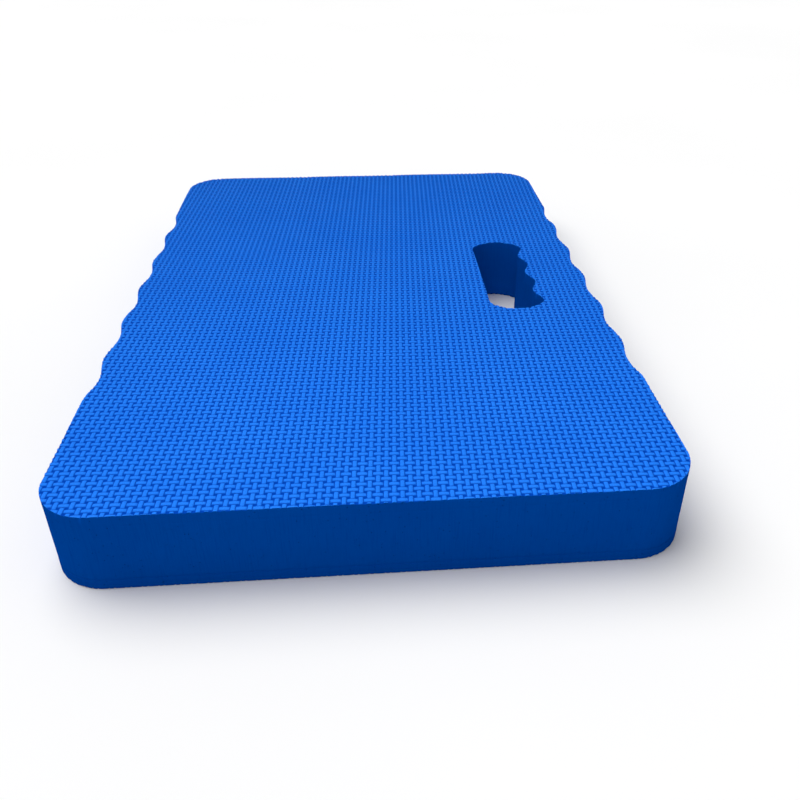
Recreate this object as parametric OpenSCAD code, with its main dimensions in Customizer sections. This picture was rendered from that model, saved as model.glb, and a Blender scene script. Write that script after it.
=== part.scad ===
// Foam kneeling pad: a thick slab with scalloped long sides and a hand hole, die-cut in one stroke
// from three foam sheets bonded face to face: an embossed top sheet, a plain core and an embossed
// bottom sheet.
// The pad lies flat: X runs across it, Y along it, Z up, with the origin at the centre of its base.

/* [Pad] */
// Width across the pad, between the straight ends of the long sides
pad_w = 280; // [240:5:320]
// Length of the pad, along the scalloped sides
pad_l = 420; // [360:10:480]
// Thickness of the whole pad
pad_t = 40; // [30:1:50]
// Radius of the four corners, seen from above
corner_r = 25; // [10:1:40]
// Thickness of each embossed sheet, over its raised bars
sheet_t = 5; // [3:0.5:8]

/* [Scalloped sides] */
// Number of scallops along each long side
scallops = 6; // [2:1:7]
// Distance from one scallop to the next
scallop_pitch = 42; // [30:1:50]
// Depth of a scallop, measured in from the straight edge
scallop_depth = 3; // [1:0.5:5]

/* [Hand hole] */
// Length of the hand hole, along the pad
hole_l = 100; // [85:1:120]
// Width of the hand hole, between its straight side and the finger recesses
hole_w = 33; // [28:1:38]
// Width of the grip left between the finger recesses and the pad's edge
grip_w = 33; // [25:1:45]
// How far the hand hole's middle lies beyond the pad's middle
hole_offset = 7; // [0:1:10]
// Radius of the hand hole's bowed ends
hole_end_r = 20; // [19:1:40]
// Radius that joins a bowed end to a long side of the hand hole
hole_fillet_r = 6; // [3:1:9]
// Number of ridges between the fingers
finger_ridges = 3; // [2:1:4]
// Height of a finger ridge above the recesses beside it
ridge_h = 4; // [1:0.5:6]

/* [Hidden] */

foam_blue = [0.03, 0.30, 0.80];
core_t = pad_t - 2 * sheet_t;

// Steps along the curves: degrees on an arc, and points in each wave
arc_step = 5;
wave_points = 14;

// The scallops always leave a straight stretch before each corner
pitch = min(scallop_pitch, (pad_l - 2 * corner_r) / (scallops + 1));
scalloped_l = scallops * pitch;

// The hand hole's straight side ends where the fillet, tangent to it and to the bowed end, begins
hole_half_w = hole_w / 2;
hole_x = pad_w / 2 - grip_w - hole_half_w;
end_centre = hole_l / 2 - hole_end_r;
fillet_x = hole_half_w - hole_fillet_r;
fillet_rise = sqrt(pow(hole_end_r - hole_fillet_r, 2) - pow(fillet_x, 2));
fillet_angle = atan2(fillet_rise, fillet_x);
straight_l = 2 * (end_centre + fillet_rise);

// A cosine wave along a straight line of some length: 0 at both ends, depth in each hollow
function wave(along, length, waves, depth) = depth / 2 * (1 - cos(360 * waves * along / length));

// Points of an arc from one angle to another: the start is included, and the end if last is 1
function arc(centre, r, from, to, last = 1) =
    let (steps = ceil(abs(to - from) / arc_step))
    [for (i = [0 : steps - 1 + last])
        let (angle = from + (to - from) * i / steps)
        centre + r * [cos(angle), sin(angle)]];

// Half of a shape's points, and the same points turned half a turn about the origin
function with_half_turn(half) = concat(half, [for (p = half) -p]);

// One scalloped side, from front to back, then the back corner at its end
function scalloped_half() =
    let (steps = scallops * wave_points)
    concat(
        [for (i = [0 : steps])
            [pad_w / 2 - wave(i, steps, scallops, scallop_depth), scalloped_l * (i / steps - 1 / 2)]],
        arc([pad_w / 2 - corner_r, pad_l / 2 - corner_r], corner_r, 0, 90),
        arc([corner_r - pad_w / 2, pad_l / 2 - corner_r], corner_r, 90, 180));

// One end of the hand hole, bowed, with its two fillets: from the outer side to the inner side
function hole_end() =
    concat(
        arc([fillet_x, end_centre + fillet_rise], hole_fillet_r, 0, fillet_angle, 0),
        arc([0, end_centre], hole_end_r, fillet_angle, 180 - fillet_angle, 0),
        arc([-fillet_x, end_centre + fillet_rise], hole_fillet_r, 180 - fillet_angle, 180));

// The outer side of the hand hole, with a ridge between each two fingers
function finger_side() =
    let (steps = finger_ridges * wave_points)
    [for (i = [1 : steps - 1])
        [hole_half_w - wave(i, steps, finger_ridges, ridge_h), straight_l * (i / steps - 1 / 2)]];

module outline() {
    polygon(with_half_turn(scalloped_half()));
}

module hand_hole() {
    translate([hole_x, hole_offset])
        polygon(concat(finger_side(), with_half_turn(hole_end())));
}

// One die-cut layer of foam
module layer(thickness) {
    color(foam_blue)
        linear_extrude(thickness)
            difference() {
                outline();
                hand_hole();
            }
}

module bottom_sheet() {
    layer(sheet_t);
}

module foam_core() {
    translate([0, 0, sheet_t])
        layer(core_t);
}

module top_sheet() {
    translate([0, 0, pad_t - sheet_t])
        layer(sheet_t);
}

bottom_sheet();
foam_core();
top_sheet();
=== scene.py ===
"""A foam kneeling pad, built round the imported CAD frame.

The pad is taken to be a laminate of three sheets of blue closed-cell foam, cut to shape with one die. Each
outer sheet is made in the same way: a block wider than the pad gets the basket-weave emboss on one face, and
is then cut to the pad's outline, so the bars along its edges are cut through wherever the die falls on them.
"""

import math
import random

import bmesh
import bpy
import numpy as np
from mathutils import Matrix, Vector, noise


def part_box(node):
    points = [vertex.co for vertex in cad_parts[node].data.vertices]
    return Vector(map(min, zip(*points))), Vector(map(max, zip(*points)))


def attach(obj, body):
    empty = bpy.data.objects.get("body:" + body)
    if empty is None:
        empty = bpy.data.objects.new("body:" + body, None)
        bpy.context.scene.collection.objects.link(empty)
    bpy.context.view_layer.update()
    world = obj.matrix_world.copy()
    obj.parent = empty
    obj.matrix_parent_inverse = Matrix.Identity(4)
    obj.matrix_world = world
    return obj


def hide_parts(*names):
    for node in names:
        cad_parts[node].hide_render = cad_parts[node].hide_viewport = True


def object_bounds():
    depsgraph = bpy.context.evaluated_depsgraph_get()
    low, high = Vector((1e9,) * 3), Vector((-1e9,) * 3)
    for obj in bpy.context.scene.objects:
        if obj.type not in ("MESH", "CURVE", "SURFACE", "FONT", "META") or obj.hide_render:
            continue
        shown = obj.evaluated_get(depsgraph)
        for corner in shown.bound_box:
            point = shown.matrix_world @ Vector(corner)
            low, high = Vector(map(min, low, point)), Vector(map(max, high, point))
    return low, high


MM = 0.001

# Camera, in metres and degrees, in the frame of the pad. The shift is in widths of the picture.
CAMERA_AT = (-0.0010, -0.4615, 0.2589)
CAMERA_TURN = (58.79, -0.26, -4.59)
CAMERA_LENS_MM = 36.16
CAMERA_SENSOR_MM = 36
CAMERA_SHIFT = (-0.0305, -0.0464)

# Outline of the pad, in millimetres and degrees: its width and length come from the frame
CORNER_R = 25
SCALLOPS = 6
SCALLOP_PITCH = 42
SCALLOP_DEPTH = 3
HOLE_L = 100
HOLE_W = 33
GRIP_W = 33
HOLE_OFFSET = 7
HOLE_END_R = 20
HOLE_FILLET_R = 6
FINGER_RIDGES = 3
RIDGE_H = 4
ARC_STEP = 3
WAVE_POINTS = 28

# Basket weave, in millimetres and degrees: bars lie across and along in turn, at the points of a square
# lattice. BAR_FOOT is half a bar's width at its foot, and HEIGHT_JITTER the most that a bar falls short.
WEAVE_PITCH = 3.44
TOP_WEAVE = {"turn": -2.7, "at": (7.2, -5.0)}
BOTTOM_WEAVE = {"turn": 0, "at": (1.1, 0.04)}
BAR_FOOT = 1.04
EMBOSS_DEPTH = 0.48
HEIGHT_JITTER = 0.04

# Making the sheets, in millimetres: how far the block reaches past the pad's edge and the die past both
# faces, and how near each other two points are when they are joined
BLOCK_MARGIN = 8
DIE_OVERLAP = 1
WELD_WITHIN = 0.02

# Cut wall of the core, in millimetres: it is uneven by up to WALL_UNEVENNESS, in dents about WALL_WAVE wide
WALL_STEP = 1.5
WALL_UNEVENNESS = 0.12
WALL_WAVE = 14
BOND_GROOVE = 0.10
BOND_GROOVE_H = 0.5

# Shading: the angle in degrees from which an edge is hard, and the upward part of a face's normal from which
# the face is skin and not cut wall
SHEET_HARD_FROM = 60
CORE_HARD_FROM = 40
SKIN_NORMAL_Z = 0.3

# Foam colours, linear, and how they shine. The bar blues are paler as a painted sheen on the bars, and the
# pit blue is darker as painted shade in the pits. SKIN_ROUGHNESS is that of the pits and of the bars.
BAR_BLUE_SHEENED = (0.0095, 0.126, 0.56)
BAR_BLUE_2_SHEENED = (0.0080, 0.117, 0.54)
SHADED_PIT_BLUE = (0.0, 0.033, 0.26)
# The cut blues are darkened partly as painted shade on the cut walls; the pore colour is painted shade
# inside the pores
SHADED_CUT_BLUE = (0.0, 0.0510, 0.300)
SHADED_CUT_BLUE_2 = (0.0, 0.0475, 0.285)
CUT_DARK = (0.0, 0.0350, 0.225)
PORE_PAINTED_SHADE = (0.0, 0.0200, 0.130)
SKIN_ROUGHNESS = (0.8, 0.5)
SKIN_SPECULAR = 0.01
CUT_ROUGHNESS = 0.85
CUT_SPECULAR = 0.0

# Texture sizes and depths, in millimetres. STREAK_STRETCH is how many times longer a streak is along each
# axis, and PORE_FLOOR is the radius of a pore's flat middle, as a share of the pore's.
CELL_MM = 0.35
RIPPLE_MM = 1.2
STREAK_MM = 0.7
STREAK_STRETCH = (1, 1, 18)
PORE_SPACING_MM = 2.6
PORE_R_MM = 0.28
PORE_FLOOR = 0.4
CLOUD_MM = 45
SKIN_CELL_DEPTH = 0.03
SKIN_RIPPLE_DEPTH = 0.04
CUT_CELL_DEPTH = 0.05
STREAK_DEPTH = 0.06
PORE_DEPTH = 0.3

# Where one colour gives way to another: between two values of a noise, or on the flank of a bar between two
# depths below the face, as shares of the emboss. A share limits how much of the second colour there is.
CLOUD_RANGE = (0.35, 0.65)
SPECK_RANGE = (0.55, 0.8)
SPECK_SHARE = 0.5
OPEN_CELL_RANGE = (0.56, 0.74)
OPEN_CELL_SHARE = 0.7
STREAK_RANGE = (0.5, 0.75)
STREAK_SHARE = 0.45
# BAR_FLANK is where the painted shade of the pits gives way to the bars with their painted sheen
BAR_FLANK = (0.9, 0.3)

# Studio, in metres and degrees, with the floor a hair below the pad
FLOOR_HALF = 60
FLOOR_DROP = 0.0002
FLOOR_WHITE = (0.93, 0.93, 0.93)
FLOOR_WHITE_2 = (0.95, 0.95, 0.95)
FLOOR_CLOUD_MM = 300
FLOOR_CLOUD_RANGE = (0.3, 0.7)
FLOOR_ROUGHNESS = 0.9
FLOOR_SPECULAR = 0.1
ROOM_STRENGTH = 0.35
HORIZON_STRENGTH = 1.0
HORIZON_BAND = (0.02, 0.25)
SOFTBOX_STRENGTH = 2.5
SOFTBOX_SPREAD = 60
SOFTBOX_FROM = (-0.4, 0.3, 1)
NEAR_LAMP_AT = (-0.03, -0.30, 0.55)
NEAR_LAMP_SIZE = 0.35
NEAR_LAMP_WATTS = 2.6


def wave(along, length, waves, depth):
    """A cosine wave along a straight line: 0 at both ends, depth in each hollow."""
    return depth / 2 * (1 - math.cos(2 * math.pi * waves * along / length))


def arc(centre, radius, start, end):
    """Points of an arc, ends included. Angles are in degrees."""
    steps = math.ceil(abs(end - start) / ARC_STEP)
    angles = [math.radians(start + (end - start) * i / steps) for i in range(steps + 1)]
    return [(centre[0] + radius * math.cos(a), centre[1] + radius * math.sin(a)) for a in angles]


def with_half_turn(half):
    """Half of a shape's points, and the same points turned half a turn about the origin."""
    return half + [(-x, -y) for x, y in half]


def pad_outline(width, length):
    """The pad's edge: scalloped long sides and round corners."""
    steps = SCALLOPS * WAVE_POINTS
    side = [
        (
            width / 2 - wave(i, steps, SCALLOPS, SCALLOP_DEPTH),
            SCALLOPS * SCALLOP_PITCH * (i / steps - 0.5),
        )
        for i in range(steps + 1)
    ]
    corner_x, corner_y = width / 2 - CORNER_R, length / 2 - CORNER_R
    corners = arc((corner_x, corner_y), CORNER_R, 0, 90) + arc((-corner_x, corner_y), CORNER_R, 90, 180)
    return with_half_turn(side + corners)


def hole_outline(width):
    """The hand hole: bowed ends, a straight inner side, and an outer side with a ridge between fingers."""
    half_w = HOLE_W / 2
    end_y = HOLE_L / 2 - HOLE_END_R
    fillet_x = half_w - HOLE_FILLET_R
    fillet_rise = math.sqrt((HOLE_END_R - HOLE_FILLET_R) ** 2 - fillet_x**2)
    fillet_y = end_y + fillet_rise
    fillet_angle = math.degrees(math.atan2(fillet_rise, fillet_x))
    end = (
        arc((fillet_x, fillet_y), HOLE_FILLET_R, 0, fillet_angle)[:-1]
        + arc((0, end_y), HOLE_END_R, fillet_angle, 180 - fillet_angle)[:-1]
        + arc((-fillet_x, fillet_y), HOLE_FILLET_R, 180 - fillet_angle, 180)
    )
    steps = FINGER_RIDGES * WAVE_POINTS
    fingers = [
        (half_w - wave(i, steps, FINGER_RIDGES, RIDGE_H), 2 * fillet_y * (i / steps - 0.5))
        for i in range(1, steps)
    ]
    hole_x = width / 2 - GRIP_W - half_w
    return [(x + hole_x, y + HOLE_OFFSET) for x, y in fingers + with_half_turn(end)]


def link(name, mesh):
    obj = bpy.data.objects.new(name, mesh)
    bpy.context.scene.collection.objects.link(obj)
    return obj


def walled_solid(name, loops, heights, place):
    """A closed solid with one wall along each loop, through the heights. place gives points in metres."""
    bm = bmesh.new()
    caps = {heights[0]: [], heights[-1]: []}
    for loop in loops:
        rings = [[bm.verts.new(place(loop, k, z)) for k in range(len(loop))] for z in heights]
        for low, high in zip(rings, rings[1:]):
            for k in range(len(loop)):
                bm.faces.new((low[k - 1], low[k], high[k], high[k - 1]))
        for z, ring in ((heights[0], rings[0]), (heights[-1], rings[-1])):
            caps[z] += [bm.edges.get((ring[k - 1], ring[k])) for k in range(len(ring))]
    for edges in caps.values():
        bmesh.ops.triangle_fill(bm, edges=edges, use_beauty=True)
    bmesh.ops.recalc_face_normals(bm, faces=bm.faces)
    mesh = bpy.data.meshes.new(name)
    bm.to_mesh(mesh)
    bm.free()
    return link(name, mesh)


def shade(obj, hard_from):
    """Smooth shading, with a hard edge wherever two faces meet at more than that angle, in degrees."""
    obj.data.shade_smooth()
    obj.data.set_sharp_from_angle(angle=math.radians(hard_from))


def bar_template():
    """Points and faces of one embossed bar, in millimetres, lying along X and centred on the origin.

    Each ring is drawn half way round, a little uneven, and turned half a turn for the rest. The foot
    meets the bars beside it and at its ends. z is 0 at the bottom of the pits and 1 at the top of the bar.
    """
    end = WEAVE_PITCH - BAR_FOOT
    foot = [
        (end, 0, 0.12),
        (end, BAR_FOOT, 0),
        (BAR_FOOT, BAR_FOOT, 0),
        (0, BAR_FOOT, 0.12),
        (-BAR_FOOT, BAR_FOOT, 0),
        (-end, BAR_FOOT, 0),
    ]
    shoulder = [
        (end - 0.40, 0, 0.74),
        (end - 0.55, 0.60, 0.72),
        (BAR_FOOT, 0.82, 0.74),
        (0, 0.82, 0.80),
        (-BAR_FOOT, 0.82, 0.74),
        (-end + 0.50, 0.62, 0.72),
    ]
    top = [
        (end - 0.62, 0, 1),
        (end - 0.78, 0.38, 1),
        (BAR_FOOT, 0.58, 1),
        (0, 0.60, 1),
        (-BAR_FOOT, 0.58, 1),
        (-end + 0.73, 0.40, 1),
    ]
    rings = [half + [(-x, -y, z) for x, y, z in half] for half in (foot, shoulder, top)]
    n = len(rings[0])
    points = [p for ring in rings for p in ring]
    faces = [
        (r * n + k, r * n + (k + 1) % n, (r + 1) * n + (k + 1) % n, (r + 1) * n + k)
        for r in range(len(rings) - 1)
        for k in range(n)
    ]
    faces.append(tuple(range((len(rings) - 1) * n, len(rings) * n)))
    return np.array(points), faces


def embossed_block(name, width, length, face_z, inner_z, weave, seed):
    """A closed block wider than the pad, with the basket weave on its outer face. Units are millimetres."""
    rng = random.Random(seed)
    outward = 1 if face_z > inner_z else -1
    bar, bar_faces = bar_template()
    quarter_turn = np.array([[0, 1], [-1, 0]])
    low, high = BAR_FOOT, WEAVE_PITCH - BAR_FOOT
    pit = np.array([(low, low, 0), (high, low, 0), (high, high, 0), (low, high, 0)])
    turn = math.radians(weave["turn"])
    rotation = np.array([[math.cos(turn), math.sin(turn)], [-math.sin(turn), math.cos(turn)]])
    reach = math.hypot(*weave["at"]) + BLOCK_MARGIN + length / 2 * abs(math.sin(turn))
    columns = math.ceil((width / 2 + reach) / WEAVE_PITCH)
    rows = math.ceil((length / 2 + reach) / WEAVE_PITCH)
    points, faces = [], []
    for i in range(-columns, columns + 1):
        for j in range(-rows, rows + 1):
            at = np.array([i, j]) * WEAVE_PITCH
            this_bar = bar.copy()
            if (i + j) % 2 == 0:
                this_bar[:, :2] = bar[:, :2] @ quarter_turn
            above_foot = this_bar[:, 2] > 0.5
            this_bar[above_foot, 2] -= rng.random() * HEIGHT_JITTER / EMBOSS_DEPTH
            shapes = [(this_bar, bar_faces)]
            if i < columns and j < rows:
                shapes.append((pit.copy(), [(0, 1, 2, 3)]))
            for shape, shape_faces in shapes:
                start = len(points)
                shape[:, :2] += at
                points += shape.tolist()
                faces += [tuple(start + v for v in f) for f in shape_faces]
    co = np.array(points)
    co[:, :2] = co[:, :2] @ rotation + weave["at"]
    co[:, 2] = face_z + outward * EMBOSS_DEPTH * (co[:, 2] - 1)
    bm = bmesh.new()
    mesh = bpy.data.meshes.new(name)
    mesh.from_pydata((co * MM).tolist(), [], faces)
    bm.from_mesh(mesh)
    bmesh.ops.remove_doubles(bm, verts=bm.verts, dist=WELD_WITHIN * MM)
    rim = [e for e in bm.edges if e.is_boundary]
    skirt = bmesh.ops.extrude_edge_only(bm, edges=rim)["geom"]
    for v in (g for g in skirt if isinstance(g, bmesh.types.BMVert)):
        v.co.z = inner_z * MM
    bottom = [g for g in skirt if isinstance(g, bmesh.types.BMEdge) and g.is_boundary]
    bmesh.ops.contextual_create(bm, geom=bottom)
    bmesh.ops.recalc_face_normals(bm, faces=bm.faces)
    bm.to_mesh(mesh)
    bm.free()
    return link(name, mesh)


def die_cut(block, die):
    """Cuts the block to the die's shape."""
    cut = block.modifiers.new("die", "BOOLEAN")
    cut.operation = "INTERSECT"
    cut.solver = "MANIFOLD"
    cut.object = die
    graph = bpy.context.evaluated_depsgraph_get()
    mesh = bpy.data.meshes.new_from_object(block.evaluated_get(graph), depsgraph=graph)
    block.modifiers.clear()
    block.data = mesh
    return block


def node_tree(material):
    """The material's nodes, its links, its shader, and the piece's own coordinates, in metres."""
    material.use_nodes = True
    nodes, links = material.node_tree.nodes, material.node_tree.links
    place = nodes.new("ShaderNodeTexCoord").outputs["Object"]
    return nodes, links, nodes["Principled BSDF"], place


def remap(nodes, links, value, from_range, to_range):
    """The value carried from one range to another, and kept within it."""
    node = nodes.new("ShaderNodeMapRange")
    for name, number in zip(("From Min", "From Max", "To Min", "To Max"), (*from_range, *to_range)):
        node.inputs[name].default_value = number
    links.new(value, node.inputs["Value"])
    return node.outputs["Result"]


def noise_texture(nodes, links, place, feature_mm, detail=2.0, stretch=(1, 1, 1)):
    """Noise with features of that size, from 0 to 1. stretch makes them longer along an axis."""
    mapping = nodes.new("ShaderNodeMapping")
    mapping.inputs["Scale"].default_value = [1 / s for s in stretch]
    texture = nodes.new("ShaderNodeTexNoise")
    texture.inputs["Scale"].default_value = 1 / (feature_mm * MM)
    texture.inputs["Detail"].default_value = detail
    links.new(place, mapping.inputs["Vector"])
    links.new(mapping.outputs["Vector"], texture.inputs["Vector"])
    return texture.outputs["Fac"]


def pore_texture(nodes, links, place):
    """Small round pores, scattered at random: 1 inside a pore and 0 outside."""
    texture = nodes.new("ShaderNodeTexVoronoi")
    texture.inputs["Scale"].default_value = 1 / (PORE_SPACING_MM * MM)
    links.new(place, texture.inputs["Vector"])
    rim = PORE_R_MM / PORE_SPACING_MM
    return remap(nodes, links, texture.outputs["Distance"], (PORE_FLOOR * rim, rim), (1, 0))


def blend_colours(nodes, links, share, first, second):
    """The first colour where share is 0 and the second where it is 1. Each is a socket or three numbers."""
    node = nodes.new("ShaderNodeMix")
    node.data_type = "RGBA"
    links.new(share, node.inputs["Factor"])
    for socket, colour in ((node.inputs["A"], first), (node.inputs["B"], second)):
        if isinstance(colour, tuple):
            socket.default_value = (*colour, 1)
        else:
            links.new(colour, socket)
    return node.outputs["Result"]


def add_bump(nodes, links, shader, layers):
    """Bump from layers of (height socket, depth in millimetres), one on another. Below 0 is a hollow."""
    normal = None
    for height, depth in layers:
        bump = nodes.new("ShaderNodeBump")
        bump.invert = depth < 0
        bump.inputs["Strength"].default_value = 1
        bump.inputs["Distance"].default_value = abs(depth) * MM
        links.new(height, bump.inputs["Height"])
        if normal is not None:
            links.new(normal, bump.inputs["Normal"])
        normal = bump.outputs["Normal"]
    links.new(normal, shader.inputs["Normal"])


def skin_material(mid_z, face_z):
    """Embossed foam skin: the bars are smoother than the pits that are pressed between them. The bars carry
    a painted sheen and the pits painted shade.

    mid_z is the pad's middle and face_z its top face, in millimetres: depth is measured from the middle
    either way, so that one material serves both faces.
    """
    material = bpy.data.materials.new("embossed_foam")
    nodes, links, shader, place = node_tree(material)
    split = nodes.new("ShaderNodeSeparateXYZ")
    links.new(place, split.inputs["Vector"])
    above = nodes.new("ShaderNodeMath")
    above.operation = "SUBTRACT"
    above.inputs[1].default_value = mid_z * MM
    links.new(split.outputs["Z"], above.inputs[0])
    from_middle = nodes.new("ShaderNodeMath")
    from_middle.operation = "ABSOLUTE"
    links.new(above.outputs["Value"], from_middle.inputs[0])
    half = (face_z - mid_z) * MM
    flank = [half - share * EMBOSS_DEPTH * MM for share in BAR_FLANK]
    # Paints shade into the pits and a paler sheen onto the bars, by depth below the face
    raised_sheen_pit_shade = remap(nodes, links, from_middle.outputs["Value"], flank, (0, 1))
    cells = noise_texture(nodes, links, place, CELL_MM)
    clouds = noise_texture(nodes, links, place, CLOUD_MM, detail=3)
    clouded = remap(nodes, links, clouds, CLOUD_RANGE, (0, 1))
    bars = blend_colours(nodes, links, clouded, BAR_BLUE_SHEENED, BAR_BLUE_2_SHEENED)
    specks = remap(nodes, links, cells, SPECK_RANGE, (0, SPECK_SHARE))
    speckled = blend_colours(nodes, links, specks, bars, SHADED_PIT_BLUE)
    links.new(blend_colours(nodes, links, raised_sheen_pit_shade, SHADED_PIT_BLUE, speckled), shader.inputs["Base Color"])
    links.new(remap(nodes, links, raised_sheen_pit_shade, (0, 1), SKIN_ROUGHNESS), shader.inputs["Roughness"])
    shader.inputs["Specular IOR Level"].default_value = SKIN_SPECULAR
    ripples = noise_texture(nodes, links, place, RIPPLE_MM)
    add_bump(nodes, links, shader, [(cells, SKIN_CELL_DEPTH), (ripples, SKIN_RIPPLE_DEPTH)])
    return material


def cut_material():
    """Foam cut by the die: matt, with fine open cells and faint streaks along the cut. Its blue is darkened
    partly as painted shade on the walls, and its pores are dark as painted shade inside them.
    """
    material = bpy.data.materials.new("cut_foam")
    nodes, links, shader, place = node_tree(material)
    cells = noise_texture(nodes, links, place, CELL_MM, detail=3)
    streaks = noise_texture(nodes, links, place, STREAK_MM, detail=3, stretch=STREAK_STRETCH)
    clouds = noise_texture(nodes, links, place, CLOUD_MM, detail=2)
    clouded = remap(nodes, links, clouds, CLOUD_RANGE, (0, 1))
    # The wall's blue, darkened partly as painted shade
    base = blend_colours(nodes, links, clouded, SHADED_CUT_BLUE, SHADED_CUT_BLUE_2)
    streaking = remap(nodes, links, streaks, STREAK_RANGE, (0, STREAK_SHARE))
    streaked = blend_colours(nodes, links, streaking, base, CUT_DARK)
    open_cells = remap(nodes, links, cells, OPEN_CELL_RANGE, (0, OPEN_CELL_SHARE))
    celled = blend_colours(nodes, links, open_cells, streaked, CUT_DARK)
    # Pores are painted dark, as painted shade inside each hollow
    pores = pore_texture(nodes, links, place)
    links.new(blend_colours(nodes, links, pores, celled, PORE_PAINTED_SHADE), shader.inputs["Base Color"])
    shader.inputs["Roughness"].default_value = CUT_ROUGHNESS
    shader.inputs["Specular IOR Level"].default_value = CUT_SPECULAR
    layers = [(cells, CUT_CELL_DEPTH), (streaks, STREAK_DEPTH), (pores, -PORE_DEPTH)]
    add_bump(nodes, links, shader, layers)
    return material


def floor_material():
    material = bpy.data.materials.new("white_floor")
    nodes, links, shader, place = node_tree(material)
    clouds = noise_texture(nodes, links, place, FLOOR_CLOUD_MM)
    clouded = remap(nodes, links, clouds, FLOOR_CLOUD_RANGE, (0, 1))
    white = blend_colours(nodes, links, clouded, FLOOR_WHITE, FLOOR_WHITE_2)
    links.new(white, shader.inputs["Base Color"])
    shader.inputs["Roughness"].default_value = FLOOR_ROUGHNESS
    shader.inputs["Specular IOR Level"].default_value = FLOOR_SPECULAR
    return material


def make_camera():
    data = bpy.data.cameras.new("camera")
    data.lens = CAMERA_LENS_MM
    data.sensor_width = CAMERA_SENSOR_MM
    data.shift_x, data.shift_y = CAMERA_SHIFT
    camera = link("camera", data)
    camera.location = CAMERA_AT
    camera.rotation_euler = [math.radians(a) for a in CAMERA_TURN]
    bpy.context.scene.camera = camera


def make_stage():
    mesh = bpy.data.meshes.new("floor")
    sides = [(-1, -1), (1, -1), (1, 1), (-1, 1)]
    corners = [(x * FLOOR_HALF, y * FLOOR_HALF, -FLOOR_DROP) for x, y in sides]
    mesh.from_pydata(corners, [], [(0, 1, 2, 3)])
    mesh.materials.append(floor_material())
    link("floor", mesh)


def make_world():
    """A white room: bright near the horizon, where it stands behind the pad, and dimmer overhead."""
    world = bpy.data.worlds.new("white_room")
    bpy.context.scene.world = world
    world.use_nodes = True
    nodes, links = world.node_tree.nodes, world.node_tree.links
    split = nodes.new("ShaderNodeSeparateXYZ")
    links.new(nodes.new("ShaderNodeTexCoord").outputs["Generated"], split.inputs["Vector"])
    height = remap(nodes, links, split.outputs["Z"], HORIZON_BAND, (HORIZON_STRENGTH, ROOM_STRENGTH))
    nodes["Background"].inputs["Color"].default_value = (1, 1, 1, 1)
    links.new(height, nodes["Background"].inputs["Strength"])


def make_softbox():
    """A very soft light from above, behind and to the left."""
    data = bpy.data.lights.new("softbox", "SUN")
    data.energy = SOFTBOX_STRENGTH
    data.angle = math.radians(SOFTBOX_SPREAD)
    lamp = link("softbox", data)
    lamp.rotation_euler = Vector(SOFTBOX_FROM).to_track_quat("Z", "Y").to_euler()


def make_near_lamp(pieces):
    """A lamp over the pad's front end, so that the face dims a little towards the back.

    It lights the pad alone, because the floor would lose its shadows.
    """
    data = bpy.data.lights.new("near_lamp", "AREA")
    data.energy = NEAR_LAMP_WATTS
    data.size = NEAR_LAMP_SIZE
    lamp = link("near_lamp", data)
    lamp.location = NEAR_LAMP_AT
    lamp.light_linking.receiver_collection = bpy.data.collections.new("lit_by_near_lamp")
    for piece in pieces:
        lamp.light_linking.receiver_collection.objects.link(piece)


def finish_piece(piece, node, hard_from):
    """Shades the piece and puts it in the place of its CAD node."""
    shade(piece, hard_from)
    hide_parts(node)
    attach(piece, "root")


def make_sheet(node, name, outer, inner, die, size, materials, weave, seed):
    """One embossed sheet. outer and inner say which corner of the node's box lies at each of its faces."""
    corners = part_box(node)
    sheet = embossed_block(name, *size, corners[outer].z / MM, corners[inner].z / MM, weave, seed)
    die_cut(sheet, die)
    mesh = sheet.data
    mesh.materials.clear()
    for material in materials:
        mesh.materials.append(material)
    for face in mesh.polygons:
        face.material_index = 0 if abs(face.normal.z) > SKIN_NORMAL_Z else 1
    finish_piece(sheet, node, SHEET_HARD_FROM)
    return sheet


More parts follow.
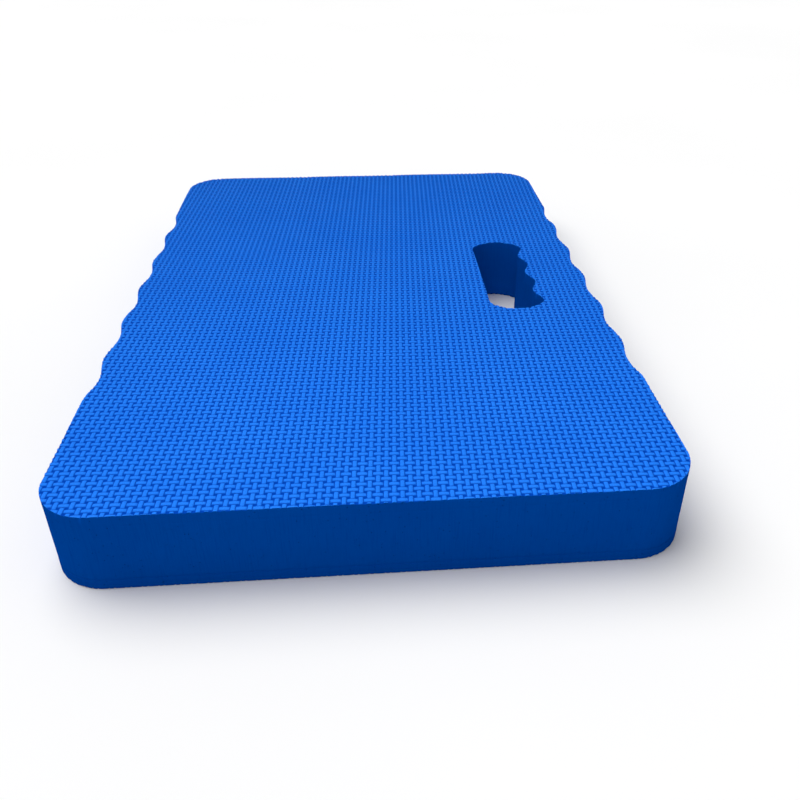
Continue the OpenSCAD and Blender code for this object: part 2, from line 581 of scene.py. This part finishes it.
def make_core(loops, material):
    """The core: its cut wall is slightly uneven, and drawn in a hair where it is bonded to the sheets."""
    low, high = (corner.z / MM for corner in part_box("foam_core"))
    steps = round((high - low - 2 * BOND_GROOVE_H) / WALL_STEP)
    rise = (high - low - 2 * BOND_GROOVE_H) / steps
    heights = [low] + [low + BOND_GROOVE_H + rise * i for i in range(steps + 1)] + [high]

    def place(loop, k, z):
        (x0, y0), (x, y), (x1, y1) = loop[k - 1], loop[k], loop[(k + 1) % len(loop)]
        length = math.hypot(x1 - x0, y1 - y0)
        into_foam = 1 if loop is loops[1] else -1
        depth = min(z - low, high - z)
        groove = BOND_GROOVE * max(0, 1 - depth / BOND_GROOVE_H)
        dent = 0.5 + 0.5 * noise.noise(Vector((x, y, z)) / WALL_WAVE)
        uneven = WALL_UNEVENNESS * min(1, depth / WALL_STEP) * dent
        inset = into_foam * (groove + uneven)
        return Vector((x + inset * (y1 - y0) / length, y - inset * (x1 - x0) / length, z)) * MM

    core = walled_solid("cut_foam_core", loops, heights, place)
    core.data.materials.append(material)
    finish_piece(core, "foam_core", CORE_HARD_FROM)
    return core


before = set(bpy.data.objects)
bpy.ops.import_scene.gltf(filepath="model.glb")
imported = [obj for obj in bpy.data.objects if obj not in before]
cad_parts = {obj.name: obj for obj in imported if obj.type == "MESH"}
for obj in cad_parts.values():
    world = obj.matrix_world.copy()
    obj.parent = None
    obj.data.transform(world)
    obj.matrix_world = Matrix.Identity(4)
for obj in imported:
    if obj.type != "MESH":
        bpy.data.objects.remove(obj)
cad_box = [list(corner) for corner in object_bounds()]
make_camera()

width, length, thickness = [(high - low) / MM for low, high in zip(*cad_box)]
size = (width, length)
loops = [pad_outline(width, length), hole_outline(width)]
cut_foam = cut_material()
foams = (skin_material(thickness / 2, thickness), cut_foam)
die_heights = [-DIE_OVERLAP, thickness + DIE_OVERLAP]
die = walled_solid("die", loops, die_heights, lambda loop, k, z: Vector((*loop[k], z)) * MM)
top = make_sheet("top_sheet", "embossed_top_sheet", 1, 0, die, size, foams, TOP_WEAVE, seed=1)
bottom = make_sheet("bottom_sheet", "embossed_bottom_sheet", 0, 1, die, size, foams, BOTTOM_WEAVE, seed=2)
bpy.data.objects.remove(die)
core = make_core(loops, cut_foam)

make_stage()
make_world()
make_softbox()
make_near_lamp([top, bottom, core])
bpy.context.scene.view_settings.view_transform = "Standard"
